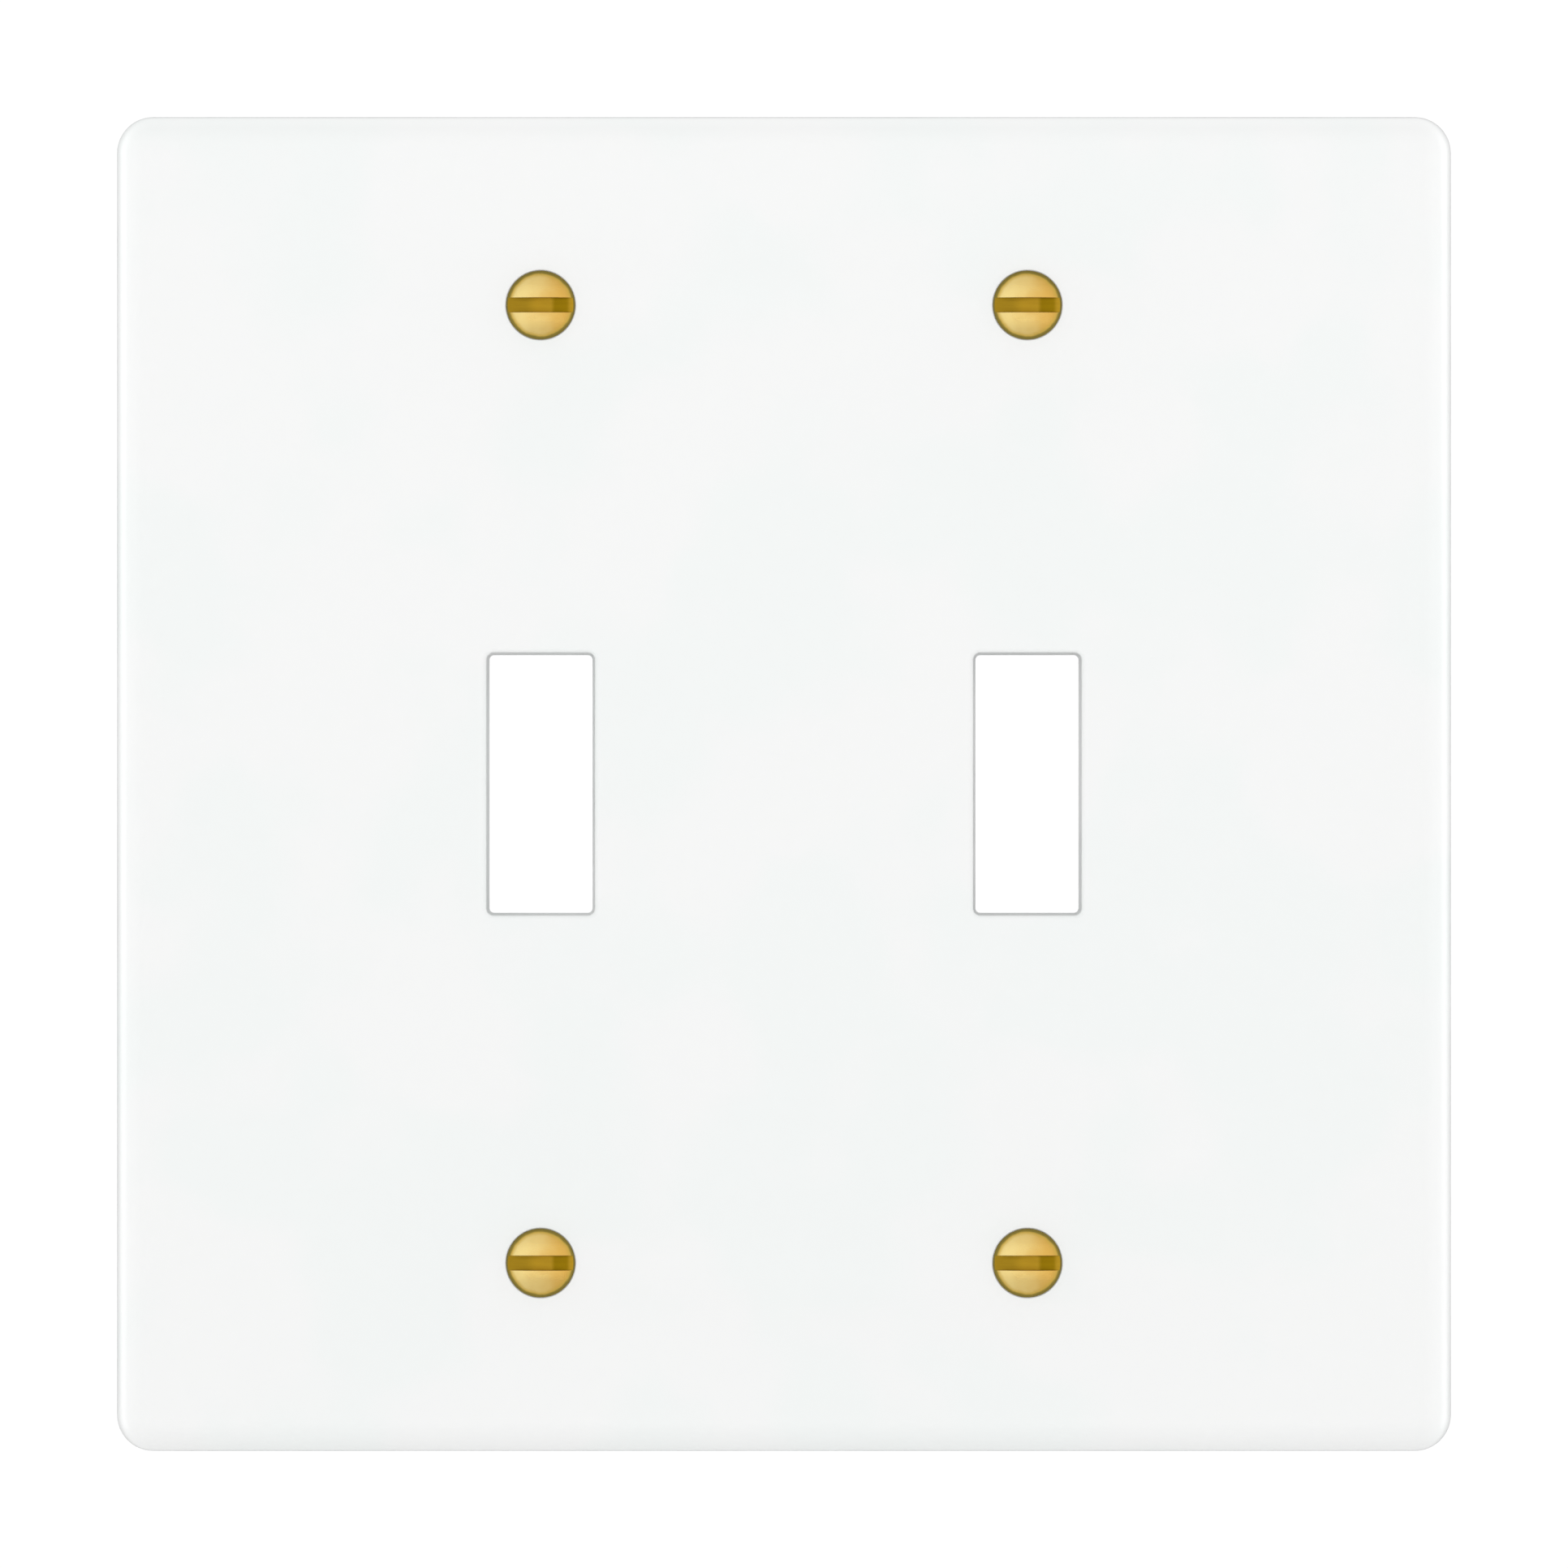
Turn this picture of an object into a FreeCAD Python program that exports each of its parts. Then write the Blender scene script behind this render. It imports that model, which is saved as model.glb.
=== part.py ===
import FreeCAD, Part
import math
import os
import re
import Sketcher

# A two-gang toggle wall plate and the four screws that hold it.
# The plate stands upright, with X across it and Z up it. Its open back lies on the wall, the plane Y = 0, and
# its front faces -Y. The origin is the middle of the plate, in the plane of the wall.

SIZES = {
    # the plate's outline and its section
    "plate_width": 126.5,
    "plate_height": 126.5,
    "plate_depth": 6.0,
    "plate_corner": 3.5,
    "edge_roll": 3.0,
    "side_draft": 1.5,
    "rim_break": 0.2,
    "wall_thickness": 2.0,
    "web_thickness": 2.3,
    "inner_corner": 1.6,
    "inner_roll": 0.9,
    # the toggle openings where they are narrowest, at their backs, and the collar behind each
    "gang_spacing": 46.04,
    "opening_width": 9.75,
    "opening_height": 24.4,
    "opening_corner": 0.45,
    "opening_lip": 0.43,
    "opening_draft": 4.0,
    "collar_width": 13.0,
    "collar_length": 27.4,
    "collar_corner": 1.4,
    "collar_height": 1.6,
    # the screw holes, and the boss behind each
    "screw_spacing": 90.6,
    "hole_diameter": 4.0,
    "sink_diameter": 6.7,
    "sink_angle": 82.0,
    "boss_diameter": 8.4,
    "boss_height": 0.8,
    # the ribs that stiffen the web, and the draft of all that stands on it
    "rib_thickness": 1.3,
    "rib_height": 1.3,
    "rib_corner": 0.2,
    "rib_level": 27.0,
    "back_draft": 2.0,
    # the low discs that the mould's ejector pins leave
    "mark_diameter": 4.0,
    "mark_height": 0.15,
    "mark_across": 50.0,
    "mark_up": 52.0,
    # a slotted oval-head screw: number 6, 32 threads to the inch, half an inch long
    "head_diameter": 6.5,
    "head_land": 0.12,
    "head_crown": 1.0,
    "seat_gap": 0.03,
    "slot_width": 1.35,
    "slot_length": 8.0,
    "slot_depth": 0.9,
    "slot_corner": 0.13,
    "screw_length": 12.7,
    "neck_diameter": 2.6,
    "neck_length": 0.82,
    "point_diameter": 2.3,
    "thread_diameter": 3.505,
    "thread_pitch": 0.79375,
    "thread_depth": 0.4296,
    "thread_slope": 30.0,
    "thread_overcut": 0.05,
}

# Formulas of the sheet's cells that are used more than once.
WEB_BACK = "plate_depth - web_thickness"
OPENING_SPREAD = "(web_thickness + collar_height) * tan(opening_draft * 1 deg)"
SINK_SLOPE = "tan(sink_angle / 2 * 1 deg)"
SEAT_DEPTH = "((sink_diameter - head_diameter) / 2 - seat_gap / cos(sink_angle / 2 * 1 deg)) / " + SINK_SLOPE
CONE_END = "-(head_diameter - neck_diameter) / 2 / " + SINK_SLOPE
NECK_END = CONE_END + " - neck_length"
HEAD_TOP = "head_land + head_crown"

# How a sketch numbers its own origin and upright axis, and the ends and centre of a piece of its geometry.
SKETCH_ORIGIN = (-1, 1)
UPRIGHT_AXIS = -2
START, END, CENTRE = 1, 2, 3

SIDES = {"left": "-", "right": ""}
LEVELS = {"bottom": "-", "top": ""}
SAME = 1e-4

doc = FreeCAD.newDocument("WallPlate")
sheet = doc.addObject("Spreadsheet::Sheet", "Sizes")
for row, (alias, size) in enumerate(SIZES.items(), start=1):
    sheet.set("A%d" % row, alias)
    sheet.set("B%d" % row, str(size))
    sheet.setAlias("B%d" % row, alias)
doc.recompute()


def formula(text):
    """The text with the sheet's name before each alias. An alias is known by its underscore."""
    return re.sub("[a-z]+_[a-z_]+", r"Sizes.\g<0>", text)


def number(text):
    """What a formula gives now."""
    return float(sheet.evalExpression(formula(text)))


def vector(across, up):
    """A point of a sketch from the formulas of its two distances."""
    return FreeCAD.Vector(number(across), number(up), 0)


def origin_feature(body, role):
    """The body's own origin plane or axis with this role."""
    return next(item for item in body.Origin.OriginFeatures if item.Role == role)


def new_sketch(body, name, plane, forward="0"):
    """A sketch on one of the body's origin planes, moved forward along the plane's normal."""
    sketch = body.newObject("Sketcher::SketchObject", name)
    sketch.AttachmentSupport = (origin_feature(body, plane), [""])
    sketch.MapMode = "FlatFace"
    sketch.setExpression("AttachmentOffset.Base.z", formula(forward))
    return sketch


def relate(sketch, *relation):
    """Adds a constraint without a size."""
    sketch.addConstraint(Sketcher.Constraint(*relation))


def dimension(sketch, name, text, *relation):
    """Adds a constraint whose size is a formula."""
    index = sketch.addConstraint(Sketcher.Constraint(*relation, number(text)))
    sketch.renameConstraint(index, name)
    sketch.setExpression("Constraints." + name, formula(text))


def place(sketch, name, point, across, up):
    """Holds a point of a sketch at two distances from the sketch's origin."""
    dimension(sketch, name + "_across", across, "DistanceX", *SKETCH_ORIGIN, *point)
    dimension(sketch, name + "_up", up, "DistanceY", *SKETCH_ORIGIN, *point)


def add_rectangle(sketch, name, width, height, radius, across="0", up="0"):
    """A rectangle with round corners about a point of the sketch."""
    middle = vector(across, up)
    corner = number(radius)
    half = vector(width, height) / 2
    flat = half - FreeCAD.Vector(corner, corner, 0)
    lines = []
    arcs = []
    # anticlockwise from the lower side, each side with the corner after it
    for quarter, (reach, run) in enumerate([(half.y, flat.x), (half.x, flat.y)] * 2):
        spots = [(-run, -reach), (run, -reach), (run, corner - reach)]
        rotation = FreeCAD.Rotation(FreeCAD.Vector(0, 0, 1), 90 * quarter)
        first, last, centre = (middle + rotation.multVec(FreeCAD.Vector(*spot, 0)) for spot in spots)
        lines.append(sketch.addGeometry(Part.LineSegment(first, last)))
        circle = Part.Circle(centre, FreeCAD.Vector(0, 0, 1), corner)
        angle = (quarter - 1) * math.pi / 2
        arcs.append(sketch.addGeometry(Part.ArcOfCircle(circle, angle, angle + math.pi / 2)))
    for quarter, line in enumerate(lines):
        relate(sketch, "Tangent", line, END, arcs[quarter], START)
        relate(sketch, "Tangent", arcs[quarter], END, lines[(quarter + 1) % len(lines)], START)
        relate(sketch, "Vertical" if quarter % 2 else "Horizontal", line)
    for arc in arcs[1:]:
        relate(sketch, "Equal", arcs[0], arc)
    lower, right, upper, left = lines
    dimension(sketch, name + "_width", width, "DistanceX", left, START, right, START)
    dimension(sketch, name + "_height", height, "DistanceY", lower, START, upper, START)
    dimension(sketch, name + "_radius", radius, "Radius", arcs[0])
    point = sketch.addGeometry(Part.Point(middle), True)
    relate(sketch, "Symmetric", lower, START, upper, START, point, START)
    place(sketch, name, (point, START), across, up)


def add_circle(sketch, name, diameter, across="0", up="0"):
    """A circle about a point of the sketch."""
    centre = vector(across, up)
    circle = sketch.addGeometry(Part.Circle(centre, FreeCAD.Vector(0, 0, 1), number(diameter) / 2))
    dimension(sketch, name + "_diameter", diameter, "Diameter", circle)
    place(sketch, name, (circle, CENTRE), across, up)


def add_sides(sketch, corners, closed=True):
    """Straight sides through the named corners, and back to the first one if the outline is closed."""
    names = list(corners)
    following = names[1:] + names[:1]
    sides = {}
    for name, after in zip(names, following):
        if after == names[0] and not closed:
            break
        sides[name] = sketch.addGeometry(Part.LineSegment(vector(*corners[name]), vector(*corners[after])))
        place(sketch, name, (sides[name], START), *corners[name])
    for name, after in zip(names, following):
        if name in sides and after in sides:
            relate(sketch, "Coincident", sides[name], END, sides[after], START)
    return sides


def add_feature(body, kind, name, **settings):
    """A feature at the body's tip. A setting in text is a formula, or one of the feature's own words."""
    feature = body.newObject("PartDesign::" + kind, name)
    for key, setting in settings.items():
        words = feature.getEnumerationsOfProperty(key) if isinstance(setting, str) else None
        if isinstance(setting, str) and not words:
            feature.setExpression(key, formula(setting))
        else:
            setattr(feature, key, setting)
    doc.recompute()
    return feature


def grown(body, kind, name, **settings):
    """A feature that has to add material."""
    before = body.Shape.Volume if body.Tip else 0
    feature = add_feature(body, kind, name, **settings)
    if feature.Shape.Volume <= before:
        raise ValueError(name + " adds nothing")
    return feature


def cut(body, kind, name, **settings):
    """A feature that has to remove material."""
    before = body.Shape.Volume
    feature = add_feature(body, kind, name, **settings)
    if feature.Shape.Volume >= before:
        raise ValueError(name + " removes nothing")
    return feature


def edges_at(feature, forward, inside=None):
    """The feature's edges in a plane in front of the wall, all of them or those in a box about the origin."""
    level = -number(forward)
    found = []
    for index, edge in enumerate(feature.Shape.Edges, start=1):
        box = edge.BoundBox
        flat = abs(box.YMin - level) < SAME and abs(box.YMax - level) < SAME
        if inside:
            flat = flat and max(-box.XMin, box.XMax) < number(inside[0])
            flat = flat and max(-box.ZMin, box.ZMax) < number(inside[1])
        if flat:
            found.append("Edge%d" % index)
    return found


def standing(body, name, sketch, height):
    """Something that stands on the web's back, with the mould's draft."""
    draft = {"Length": height, "TaperAngle": "-back_draft", "Reversed": True}
    return grown(body, "Pad", name, Profile=sketch, **draft)


def build_wall_plate():
    """The hollow moulding: a web and a wall, its openings and holes, and what stands on its back."""
    body = doc.addObject("PartDesign::Body", "wall_plate")

    outline = new_sketch(body, "Outline", "XZ_Plane")
    add_rectangle(outline, "outline", "plate_width", "plate_height", "plate_corner")
    block = grown(body, "Pad", "Block", Profile=outline, Length="plate_depth", TaperAngle="-side_draft")
    cut(body, "Fillet", "EdgeRoll", Base=(block, edges_at(block, "plate_depth")), Radius="edge_roll")

    hollow = new_sketch(body, "Hollow", "XZ_Plane")
    hollow_size = ["plate_width - 2 * wall_thickness", "plate_height - 2 * wall_thickness"]
    add_rectangle(hollow, "hollow", *hollow_size, "inner_corner")
    inward = {"Length": WEB_BACK, "TaperAngle": "-side_draft", "Reversed": True}
    recess = cut(body, "Pocket", "Recess", Profile=hollow, **inward)
    inner = grown(body, "Fillet", "InnerRoll", Base=(recess, edges_at(recess, WEB_BACK)), Radius="inner_roll")
    cut(body, "Fillet", "RimBreak", Base=(inner, edges_at(inner, "0")), Radius="rim_break")

    marks = new_sketch(body, "Marks", "XZ_Plane", WEB_BACK)
    collars = new_sketch(body, "Collars", "XZ_Plane", WEB_BACK)
    bosses = new_sketch(body, "Bosses", "XZ_Plane", WEB_BACK)
    openings = new_sketch(body, "Openings", "XZ_Plane", "plate_depth")
    holes = new_sketch(body, "Holes", "XZ_Plane", "plate_depth")
    for side, left in SIDES.items():
        across = left + "gang_spacing / 2"
        collar_size = ["collar_width", "collar_length", "collar_corner"]
        opening_size = [size + " + 2 * " + OPENING_SPREAD for size in ("opening_width", "opening_height")]
        opening_size.append("opening_corner + " + OPENING_SPREAD)
        add_rectangle(collars, side, *collar_size, across)
        add_rectangle(openings, side, *opening_size, across)
        add_circle(marks, side, "mark_diameter", left + "mark_across")
        for level, down in LEVELS.items():
            name = level + "_" + side
            add_circle(bosses, name, "boss_diameter", across, down + "screw_spacing / 2")
            add_circle(holes, name, "hole_diameter", across, down + "screw_spacing / 2")
            add_circle(marks, name, "mark_diameter", left + "mark_across", down + "mark_up")
    standing(body, "PinMarks", marks, "mark_height")
    standing(body, "OpeningCollars", collars, "collar_height")
    standing(body, "ScrewBosses", bosses, "boss_height")

    upright = new_sketch(body, "UprightRib", "XZ_Plane", WEB_BACK)
    add_rectangle(upright, "rib", "rib_thickness", "plate_height - wall_thickness", "rib_corner")
    standing(body, "RibUpright", upright, "rib_height")
    for level, down in LEVELS.items():
        crossing = new_sketch(body, "CrossRib_" + level, "XZ_Plane", WEB_BACK)
        rib_size = ["plate_width - wall_thickness", "rib_thickness", "rib_corner"]
        add_rectangle(crossing, "rib", *rib_size, up=down + "rib_level")
        standing(body, "RibAcross_" + level, crossing, "rib_height")

    narrowing = {"Length": "plate_depth", "TaperAngle": "-opening_draft"}
    mouths = cut(body, "Pocket", "ToggleOpenings", Profile=openings, **narrowing)
    lip_edges = edges_at(mouths, "plate_depth", ("gang_spacing", "opening_height"))
    cut(body, "Fillet", "OpeningLips", Base=(mouths, lip_edges), Radius="opening_lip")
    countersink = {
        "Diameter": "hole_diameter",
        "DepthType": "ThroughAll",
        "HoleCutType": "Countersink",
        "HoleCutCustomValues": True,
        "HoleCutDiameter": "sink_diameter",
        "HoleCutCountersinkAngle": "sink_angle",
    }
    cut(body, "Hole", "ScrewHoles", Profile=holes, **countersink)
    return body


def build_screw(name, across, up):
    """A slotted oval-head screw along its own Z: the head's widest edge is at Z = 0 and its point is down."""
    body = doc.addObject("PartDesign::Body", name)

    section = new_sketch(body, "Section", "XZ_Plane")
    corners = {
        "end": ("0", "-screw_length"),
        "point": ("point_diameter / 2", "-screw_length"),
        "thread_last": ("thread_diameter / 2", "(thread_diameter - point_diameter) / 2 - screw_length"),
        "thread_first": ("thread_diameter / 2", NECK_END + " - (thread_diameter - neck_diameter) / 2"),
        "neck_last": ("neck_diameter / 2", NECK_END),
        "neck_first": ("neck_diameter / 2", CONE_END),
        "head_edge": ("head_diameter / 2", "0"),
        "land": ("head_diameter / 2", "head_land"),
    }
    sides = add_sides(section, corners, closed=False)
    crown_radius = "((head_diameter / 2) ^ 2 + head_crown ^ 2) / (2 * head_crown)"
    centre = vector("0", HEAD_TOP + " - " + crown_radius)
    start = vector("head_diameter / 2", "head_land") - centre
    circle = Part.Circle(centre, FreeCAD.Vector(0, 0, 1), number(crown_radius))
    crown = section.addGeometry(Part.ArcOfCircle(circle, math.atan2(start.y, start.x), math.pi / 2))
    axis = section.addGeometry(Part.LineSegment(vector("0", HEAD_TOP), vector("0", "-screw_length")))
    relate(section, "Coincident", sides["head_edge"], END, crown, START)
    relate(section, "Coincident", crown, END, axis, START)
    relate(section, "Coincident", axis, END, sides["end"], START)
    relate(section, "PointOnObject", crown, CENTRE, UPRIGHT_AXIS)
    place(section, "top", (axis, START), "0", HEAD_TOP)
    z_axis = (origin_feature(body, "Z_Axis"), [""])
    grown(body, "Revolution", "Blank", Profile=section, ReferenceAxis=z_axis)

    slot = new_sketch(body, "Slot", "XY_Plane", HEAD_TOP)
    add_rectangle(slot, "slot", "slot_length", "slot_width", "slot_corner")
    cut(body, "Pocket", "DriverSlot", Profile=slot, Length="slot_depth")

    groove = new_sketch(body, "Groove", "XZ_Plane")
    root = "thread_diameter / 2 - thread_depth"
    crest = "thread_diameter / 2 + thread_overcut"
    middle = CONE_END + " - neck_length / 2"
    root_half = "thread_pitch / 8"
    crest_half = root_half + " + (thread_depth + thread_overcut) * tan(thread_slope * 1 deg)"
    groove_corners = {
        "root_low": (root, middle + " - " + root_half),
        "crest_low": (crest, middle + " - (" + crest_half + ")"),
        "crest_high": (crest, middle + " + " + crest_half),
        "root_high": (root, middle + " + " + root_half),
    }
    add_sides(groove, groove_corners)
    helix = {
        "ReferenceAxis": z_axis,
        "Mode": "pitch-height-angle",
        "Pitch": "thread_pitch",
        "Height": "screw_length + thread_pitch + (" + middle + ")",
        "Reversed": True,
    }
    cut(body, "SubtractiveHelix", "Thread", Profile=groove, **helix)

    # the head's own Z points out of the wall, and its slot stays level
    body.Placement = FreeCAD.Placement(FreeCAD.Vector(), FreeCAD.Rotation(FreeCAD.Vector(1, 0, 0), 90))
    body.setExpression("Placement.Base.x", formula(across))
    body.setExpression("Placement.Base.y", formula(SEAT_DEPTH + " - plate_depth"))
    body.setExpression("Placement.Base.z", formula(up))
    doc.recompute()
    return body


def write_parts(bodies):
    """Checks every object of the document, then writes each body to a file with its own name."""
    for item in doc.Objects:
        if {"Invalid", "Error"} & set(item.State):
            raise ValueError(item.Name + " failed")
    os.makedirs("parts", exist_ok=True)
    for body in bodies:
        if body.Shape.isNull() or not body.Shape.isValid() or len(body.Shape.Solids) != 1:
            raise ValueError(body.Label + " isn't one valid solid")
        body.Shape.exportStep("parts/%s.step" % body.Label)
        print(body.Label, "%.1f mm3" % body.Shape.Volume, body.Shape.BoundBox)


pieces = [build_wall_plate()]
for level, down in LEVELS.items():
    for side, left in SIDES.items():
        screw_place = [left + "gang_spacing / 2", down + "screw_spacing / 2"]
        pieces.append(build_screw("screw_%s_%s" % (level, side), *screw_place))
write_parts(pieces)
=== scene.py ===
import math

import bmesh
import bpy
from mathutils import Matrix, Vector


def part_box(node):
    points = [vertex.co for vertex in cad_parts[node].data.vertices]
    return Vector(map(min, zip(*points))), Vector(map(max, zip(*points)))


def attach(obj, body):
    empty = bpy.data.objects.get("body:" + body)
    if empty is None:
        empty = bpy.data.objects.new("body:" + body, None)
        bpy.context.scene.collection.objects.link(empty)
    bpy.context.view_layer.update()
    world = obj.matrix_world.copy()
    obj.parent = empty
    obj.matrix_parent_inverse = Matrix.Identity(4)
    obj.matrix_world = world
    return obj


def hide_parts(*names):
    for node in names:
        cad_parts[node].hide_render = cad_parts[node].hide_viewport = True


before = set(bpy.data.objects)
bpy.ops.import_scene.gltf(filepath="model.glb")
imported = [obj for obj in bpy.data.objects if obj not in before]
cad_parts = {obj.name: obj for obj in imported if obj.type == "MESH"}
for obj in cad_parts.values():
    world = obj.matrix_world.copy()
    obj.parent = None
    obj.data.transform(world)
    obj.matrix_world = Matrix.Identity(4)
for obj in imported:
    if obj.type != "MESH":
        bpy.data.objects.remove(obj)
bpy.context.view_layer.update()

# A two-gang toggle wall plate with its four screws. The meshes are built in millimetres and scaled to metres
# at the end. X runs across the plate, Z runs up it, and its front faces -Y. "Depth" is a distance in front of
# the wall. A colour is red, green and blue, and materials take it with 1 for its alpha.

MM = 0.001
SHARP_ANGLE = math.radians(28)

plate_low, plate_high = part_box("wall_plate")
PLATE_DEPTH = -plate_low.y / MM
PLATE_TOP = plate_high.z / MM

# The plate's section.
SIDE_DRAFT = math.radians(1.5)
EDGE_ROLL = 3.0
RIM_BREAK = 0.2
PLATE_HALF = PLATE_TOP + RIM_BREAK * math.tan(SIDE_DRAFT)
PLATE_CORNER = 3.5
WALL = 2.0
WEB = 2.3
WEB_BACK = PLATE_DEPTH - WEB
HOLLOW_HALF = PLATE_HALF - WALL
HOLLOW_CORNER = 1.6
INNER_ROLL = 0.9

# What goes through the web, and what stands on its back.
GANG = 46.04
OPENING = (9.75, 24.4, 0.45)
OPENING_LIP = 0.43
OPENING_DRAFT = math.radians(4)
COLLAR = (13.0, 27.4, 1.4)
COLLAR_HEIGHT = 1.6
SCREW_UP = 45.3
HOLE_RADIUS = 2.0
SINK_RADIUS = 3.35
SINK_ANGLE = 82
SINK_SLOPE = math.tan(math.radians(SINK_ANGLE / 2))
SINK_BREAK = ((0.05, 0), (0.01, 0.012), (-0.03, 0.05))
BOSS_RADIUS = 4.2
BOSS_HEIGHT = 0.8
BACK_DRAFT = math.tan(math.radians(2))
BACK_ROUND = 0.15
HOLE_BREAK = 0.06
RIB_HALF = 0.65
RIB_HEIGHT = 1.3
RIB_LEVEL = 27.0
RIB_FOOT = 0.6
MARK_RADIUS = 2.0
MARK_HEIGHT = 0.15
MARK_BREAK = ((0, 0), (0.03, MARK_HEIGHT - 0.03), (0.08, MARK_HEIGHT))
MARK_PLACES = [(across, up) for across in (-50, 50) for up in (-52, 0, 52)]
SIDES = {"left": -1, "right": 1}
LEVELS = {"bottom": -1, "top": 1}

# The screw: heights are above the widest edge of its head.
HEAD_RADIUS = 3.25
HEAD_LAND = 0.12
HEAD_CROWN = 1.0
HEAD_ROUND = 0.12
CROWN_RADIUS = (HEAD_RADIUS ** 2 + HEAD_CROWN ** 2) / (2 * HEAD_CROWN)
SLOT_HALF = 0.675
SLOT_ROUND = 0.09
SLOT_DEPTH = 0.9
SLOT_FLOOR = HEAD_LAND + HEAD_CROWN - SLOT_DEPTH
FLOOR_RADIUS = math.sqrt(CROWN_RADIUS ** 2 - (CROWN_RADIUS - SLOT_DEPTH) ** 2)
NECK_RADIUS = 1.3
CONE_END = -(HEAD_RADIUS - NECK_RADIUS) / SINK_SLOPE
NECK_LENGTH = 0.82
NECK_END = CONE_END - NECK_LENGTH
SCREW_LENGTH = 12.7
THREAD_CREST = 1.7525
THREAD_DEPTH = 0.4296
THREAD_ROOT = THREAD_CREST - THREAD_DEPTH
THREAD_PITCH = 0.79375
THREAD_FADE_TURNS = 1.0
POINT_RADIUS = 1.15

ARC_STEPS = 16
CORNER_STEPS = 12
CIRCLE_STEPS = 96
ROUND_STEPS = 4
RIM_STEPS = 6
HOLLOW_STEPS = 8
# strips of the flat front that keep its shading level beside the edge roll and the lips
ROLL_STRIP = 0.3
LIP_STRIP = 0.2


# ---------------------------------------------------------------- mesh helpers

def arc(first, last, steps):
    """Angles from the first to the last, in degrees, as radians."""
    return [math.radians(first + (last - first) * step / steps) for step in range(steps + 1)]


def rounded(half_x, half_z, corner, depth, across=0.0):
    """A rounded rectangle's points at a depth, anticlockwise from its lower right corner."""
    points = []
    for quarter, (side_x, side_z) in enumerate([(1, -1), (1, 1), (-1, 1), (-1, -1)]):
        for angle in arc(90 * quarter - 90, 90 * quarter, CORNER_STEPS):
            x = side_x * (half_x - corner) + corner * math.cos(angle)
            z = side_z * (half_z - corner) + corner * math.sin(angle)
            points.append((across + x, -depth, z))
    return points


def circle(radius, depth, across=0.0, up=0.0):
    """A circle's points at a depth."""
    turns = [2 * math.pi * step / CIRCLE_STEPS for step in range(CIRCLE_STEPS)]
    return [(across + radius * math.cos(t), -depth, up + radius * math.sin(t)) for t in turns]


def add_ring(bm, points):
    """New vertices at these points."""
    return [bm.verts.new(point) for point in points]


def loft(bm, rings, material=0, closed=True):
    """Quads between rings of vertices that have the same count."""
    for near, far in zip(rings, rings[1:]):
        for index in range(0 if closed else 1, len(near)):
            corners = [near[index - 1], near[index], far[index], far[index - 1]]
            distinct = list(dict.fromkeys(corners))
            if len(distinct) > 2:
                bm.faces.new(distinct).material_index = material


def fill(bm, loops, material=0):
    """A flat face that spans an outer loop and leaves out the loops inside it."""
    edges = [bm.edges.get((loop[i - 1], loop[i])) or bm.edges.new((loop[i - 1], loop[i]))
             for loop in loops for i in range(len(loop))]
    made = bmesh.ops.triangle_fill(bm, edges=edges, use_beauty=True)
    for item in made["geom"]:
        if isinstance(item, bmesh.types.BMFace):
            item.material_index = material


def mark_edges(bm):
    """Smooth faces, with a hard edge wherever two of them meet at a real angle."""
    bm.normal_update()
    for face in bm.faces:
        face.smooth = True
    for edge in bm.edges:
        edge.smooth = len(edge.link_faces) == 2 and edge.calc_face_angle() < SHARP_ANGLE


def finished_mesh(bm, name):
    """The mesh in metres, with its normals out and its hard edges marked."""
    bmesh.ops.remove_doubles(bm, verts=bm.verts, dist=1e-5)
    bmesh.ops.recalc_face_normals(bm, faces=bm.faces)
    bmesh.ops.scale(bm, vec=(MM, MM, MM), verts=bm.verts)
    mark_edges(bm)
    mesh = bpy.data.meshes.new(name)
    bm.to_mesh(mesh)
    bm.free()
    return mesh


def add_object(name, mesh, place=(0, 0, 0)):
    """A new object of the scene with this mesh."""
    item = bpy.data.objects.new(name, mesh)
    item.location = place
    bpy.context.scene.collection.objects.link(item)
    return item


# ---------------------------------------------------------------- the plate

def outline_ring(half, corner, inset, depth):
    """The plate's own outline or its hollow's, moved in by an inset."""
    return rounded(half - inset, half - inset, corner - inset, depth)


def edge_section(half, depth, radius, side, angles):
    """Insets and depths along a round edge that touches a drafted wall. Side is 1 if its centre is inside."""
    centre = depth * math.tan(SIDE_DRAFT) + side * radius / math.cos(SIDE_DRAFT)
    return [(centre - radius * math.cos(a), depth + radius * math.sin(a)) for a in angles]


def add_shell(bm):
    """The rolled edge, the wall and the hollow. Returns the loops that bound the web's two faces."""
    draft = math.degrees(SIDE_DRAFT)
    roll = edge_section(PLATE_HALF, PLATE_DEPTH - EDGE_ROLL, EDGE_ROLL, 1, arc(90, draft, ARC_STEPS))
    rim = edge_section(PLATE_HALF, RIM_BREAK, RIM_BREAK, 1, arc(draft, -90, RIM_STEPS))
    support = (roll[0][0] + ROLL_STRIP, PLATE_DEPTH)
    outer = [outline_ring(PLATE_HALF, PLATE_CORNER, *spot) for spot in [support] + roll + rim]

    inner_rim = edge_section(HOLLOW_HALF, RIM_BREAK, RIM_BREAK, -1, arc(-90, draft - 180, RIM_STEPS))
    inner_roll = edge_section(HOLLOW_HALF, WEB_BACK - INNER_ROLL, INNER_ROLL, 1, arc(draft, 90, HOLLOW_STEPS))
    inner = [outline_ring(HOLLOW_HALF, HOLLOW_CORNER, *spot) for spot in inner_rim + inner_roll]

    outer_rings = [add_ring(bm, ring) for ring in outer]
    inner_rings = [add_ring(bm, ring) for ring in inner]
    loft(bm, outer_rings + inner_rings[:1])
    loft(bm, inner_rings, material=1)
    return outer_rings[0], inner_rings[-1]


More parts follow.
